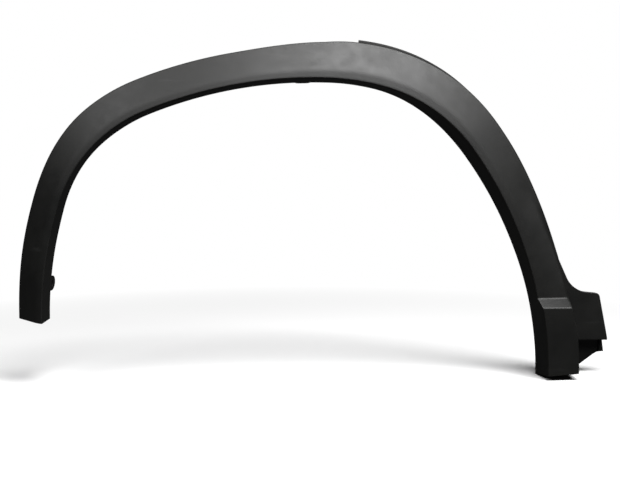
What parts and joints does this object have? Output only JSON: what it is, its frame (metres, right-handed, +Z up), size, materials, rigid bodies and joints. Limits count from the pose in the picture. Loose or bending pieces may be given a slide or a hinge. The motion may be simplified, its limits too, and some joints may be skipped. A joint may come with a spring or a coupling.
{
  "type": "wheel arch trim",
  "caption": "Black moulded plastic wheel arch trim with a wide sloped face, a return flange, clip seats, screw ears and a raised foot with a side tab.",
  "frame": {"origin": "midway between the two lowest clip seats, in the plane that the clip seats lie in", "axes": "+Z up and +X along the car, towards the raised foot; the outer face looks towards -Y and the trim is pressed onto the body towards +Y"},
  "size_m": [1.0034, 0.0736, 0.5728],
  "materials": {
    "plastic": "fine grained black, as moulded"
  },
  "bodies": {
    "root": {"arch_moulding": "plastic"}
  },
  "joints": []
}
